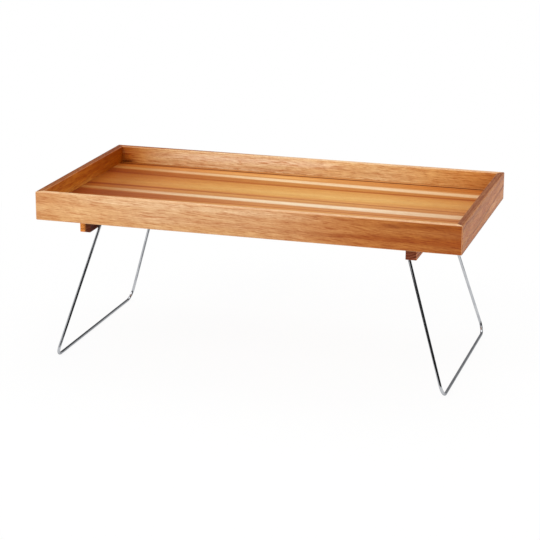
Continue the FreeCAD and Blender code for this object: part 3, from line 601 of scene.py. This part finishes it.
studio = {
    "floorSize": 8.0, "floorDrop": 0.0003, "floorColour": tone(248, 248, 248), "whiteShare": 0.93,
    "shadowReach": (0.45, 0.95), "worldStrength": 0.68, "lampAim": (0.0, 0.0, 0.15),
    "cards": [  # dark and grey cards round the table that only reflections see
        {"name": "frontCard", "place": (0.5, -3.6, 1.5), "size": (9.0, 3.0),
         "turn": (90.0, 0.0, 0.0), "shade": 0.01},
        {"name": "backCard", "place": (0.3, 3.6, 1.8), "size": (9.0, 3.4),
         "turn": (90.0, 0.0, 0.0), "shade": 0.08},
        {"name": "backCentre", "place": (0.0, 3.5, 0.85), "size": (3.2, 1.5),
         "turn": (90.0, 0.0, 0.0), "shade": 0.42},
        {"name": "rightCard", "place": (3.8, 0.0, 1.3), "size": (2.6, 7.2),
         "turn": (0.0, 90.0, 0.0), "shade": 0.03},
        {"name": "frontFloor", "place": (1.98, -2.0, 0.001), "size": (4.0, 3.4),
         "turn": (0.0, 0.0, 0.0), "shade": 0.02},
        {"name": "leftFloor", "place": (-0.167, -1.063, 0.0015), "size": (0.45, 1.74),
         "turn": (0.0, 0.0, -7.25), "shade": 0.0},
        # painted shadow: a grey and a black sheet at and under the tray, seen only in reflections, stand in
        # for the tray's shadow on the floor
        {"name": "trayShadowGrey", "place": (-0.13, 0.0, 0.001), "size": (0.22, 0.3),
         "turn": (0.0, 0.0, 0.0), "shade": 0.3},
        {"name": "trayShadowCard", "place": (-0.04, -0.2, 0.001), "size": (0.42, 0.13),
         "turn": (0.0, 0.0, -31.0), "shade": 0.0},
    ],
    "lamps": [  # the fill lamp would show as a white line on the wires, so it isn't mirrored
        {"name": "keyLamp", "place": (-1.4, -2.2, 2.2), "size": 1.6, "power": 36.0, "mirrored": True},
        {"name": "fillLamp", "place": (2.2, -1.4, 1.5), "size": 1.8, "power": 14.0, "mirrored": False},
        {"name": "topLamp", "place": (0.2, 0.9, 2.2), "size": 1.6, "power": 14.0, "mirrored": True},
    ],
}
plainWhite = (1.0, 1.0, 1.0, 1.0)


def whiteRays(tree):  # the rays that meet a plain white: from the camera, a mirror or through glass
    ray = put(tree, "LightPath").outputs
    passing = calc(tree, "MAXIMUM", ray["Is Glossy Ray"], ray["Is Transmission Ray"])
    return calc(tree, "MAXIMUM", ray["Is Camera Ray"], passing)


def makeFloor():
    bpy.ops.mesh.primitive_plane_add(size=studio["floorSize"], location=(0, 0, -studio["floorDrop"]))
    floor = bpy.context.object
    floor.name = "studioFloor"
    material = bpy.data.materials.new("floorWhite")
    tree = emptyTree(material)
    plain = put(tree, "BsdfDiffuse", {"Color": studio["floorColour"]})
    white = put(tree, "Emission", {"Color": plainWhite, "Strength": 1.0})
    spot = put(tree, "SeparateXYZ", {"Vector": put(tree, "TexCoord").outputs["Object"]}).outputs
    away = calc(tree, "SQRT", calc(tree, "ADD", calc(tree, "MULTIPLY", spot["X"], spot["X"]),
                                   calc(tree, "MULTIPLY", spot["Y"], spot["Y"])))
    share = ease(tree, away, *studio["shadowReach"], studio["whiteShare"], 1.0)  # shadow near the legs only
    lit = put(tree, "MixShader", {0: calc(tree, "MULTIPLY", whiteRays(tree), share),
                                  1: plain.outputs[0], 2: white.outputs[0]})
    clear = put(tree, "BsdfTransparent")
    under = put(tree, "NewGeometry").outputs["Backfacing"]
    whole = put(tree, "MixShader", {0: under, 1: lit.outputs[0], 2: clear.outputs[0]})
    put(tree, "OutputMaterial", {"Surface": whole.outputs[0]})
    floor.data.materials.append(material)


def makeCards():
    for look in studio["cards"]:
        material = bpy.data.materials.new(look["name"])
        tree = emptyTree(material)
        shade = (look["shade"], look["shade"], look["shade"], 1.0)
        dark = put(tree, "Emission", {"Color": shade, "Strength": 1.0})
        put(tree, "OutputMaterial", {"Surface": dark.outputs[0]})
        turn = [math.radians(angle) for angle in look["turn"]]
        bpy.ops.mesh.primitive_plane_add(size=1.0, location=look["place"], rotation=turn)
        card = bpy.context.object
        card.name = look["name"]
        card.scale = (look["size"][0], look["size"][1], 1.0)
        card.data.materials.append(material)
        card.visible_camera = False
        card.visible_diffuse = False
        card.visible_shadow = False
        card.visible_transmission = False


def makeWorld():
    world = bpy.data.worlds.new("studioWorld")
    bpy.context.scene.world = world
    tree = emptyTree(world)
    soft = put(tree, "Background", {"Color": plainWhite, "Strength": studio["worldStrength"]})
    white = put(tree, "Background", {"Color": plainWhite, "Strength": 1.0})
    mix = put(tree, "MixShader", {0: whiteRays(tree), 1: soft.outputs[0], 2: white.outputs[0]})
    put(tree, "OutputWorld", {"Surface": mix.outputs[0]})


def hang(name, data, place, turn):  # a lamp or a camera, put in the scene
    holder = bpy.data.objects.new(name, data)
    holder.location = place
    holder.rotation_mode = "QUATERNION"
    holder.rotation_quaternion = turn
    bpy.context.scene.collection.objects.link(holder)
    return holder


def makeLamps():
    for look in studio["lamps"]:
        lamp = bpy.data.lights.new(look["name"], "AREA")
        lamp.shape = "SQUARE"
        lamp.size = look["size"]
        lamp.energy = look["power"]
        aim = Vector(studio["lampAim"]) - Vector(look["place"])
        holder = hang(look["name"], lamp, look["place"], aim.to_track_quat("-Z", "Y"))
        holder.visible_glossy = look["mirrored"]


photoView = {  # fitted to the photograph
    "aim": (0.04032, -0.15996, 0.16191), "azimuth": 16.65, "elevation": 16.413, "roll": 0.301,
    "distance": 2.4384, "lens": 120.985, "sensor": 36.0,
}


def makeCamera():
    azimuth = math.radians(photoView["azimuth"])
    elevation = math.radians(photoView["elevation"])
    back = Vector((math.sin(azimuth) * math.cos(elevation), -math.cos(azimuth) * math.cos(elevation),
                   math.sin(elevation)))
    lens = bpy.data.cameras.new("photoCamera")
    lens.lens = photoView["lens"]
    lens.sensor_width = photoView["sensor"]
    roll = Quaternion((0.0, 0.0, 1.0), math.radians(photoView["roll"]))
    turn = (-back).to_track_quat("-Z", "Y") @ roll
    place = Vector(photoView["aim"]) + back * photoView["distance"]
    bpy.context.scene.camera = hang("photoCamera", lens, place, turn)


makeFloor()
makeCards()
makeWorld()
makeLamps()
makeCamera()
bpy.context.scene.view_settings.view_transform = "Standard"
print("studio done")
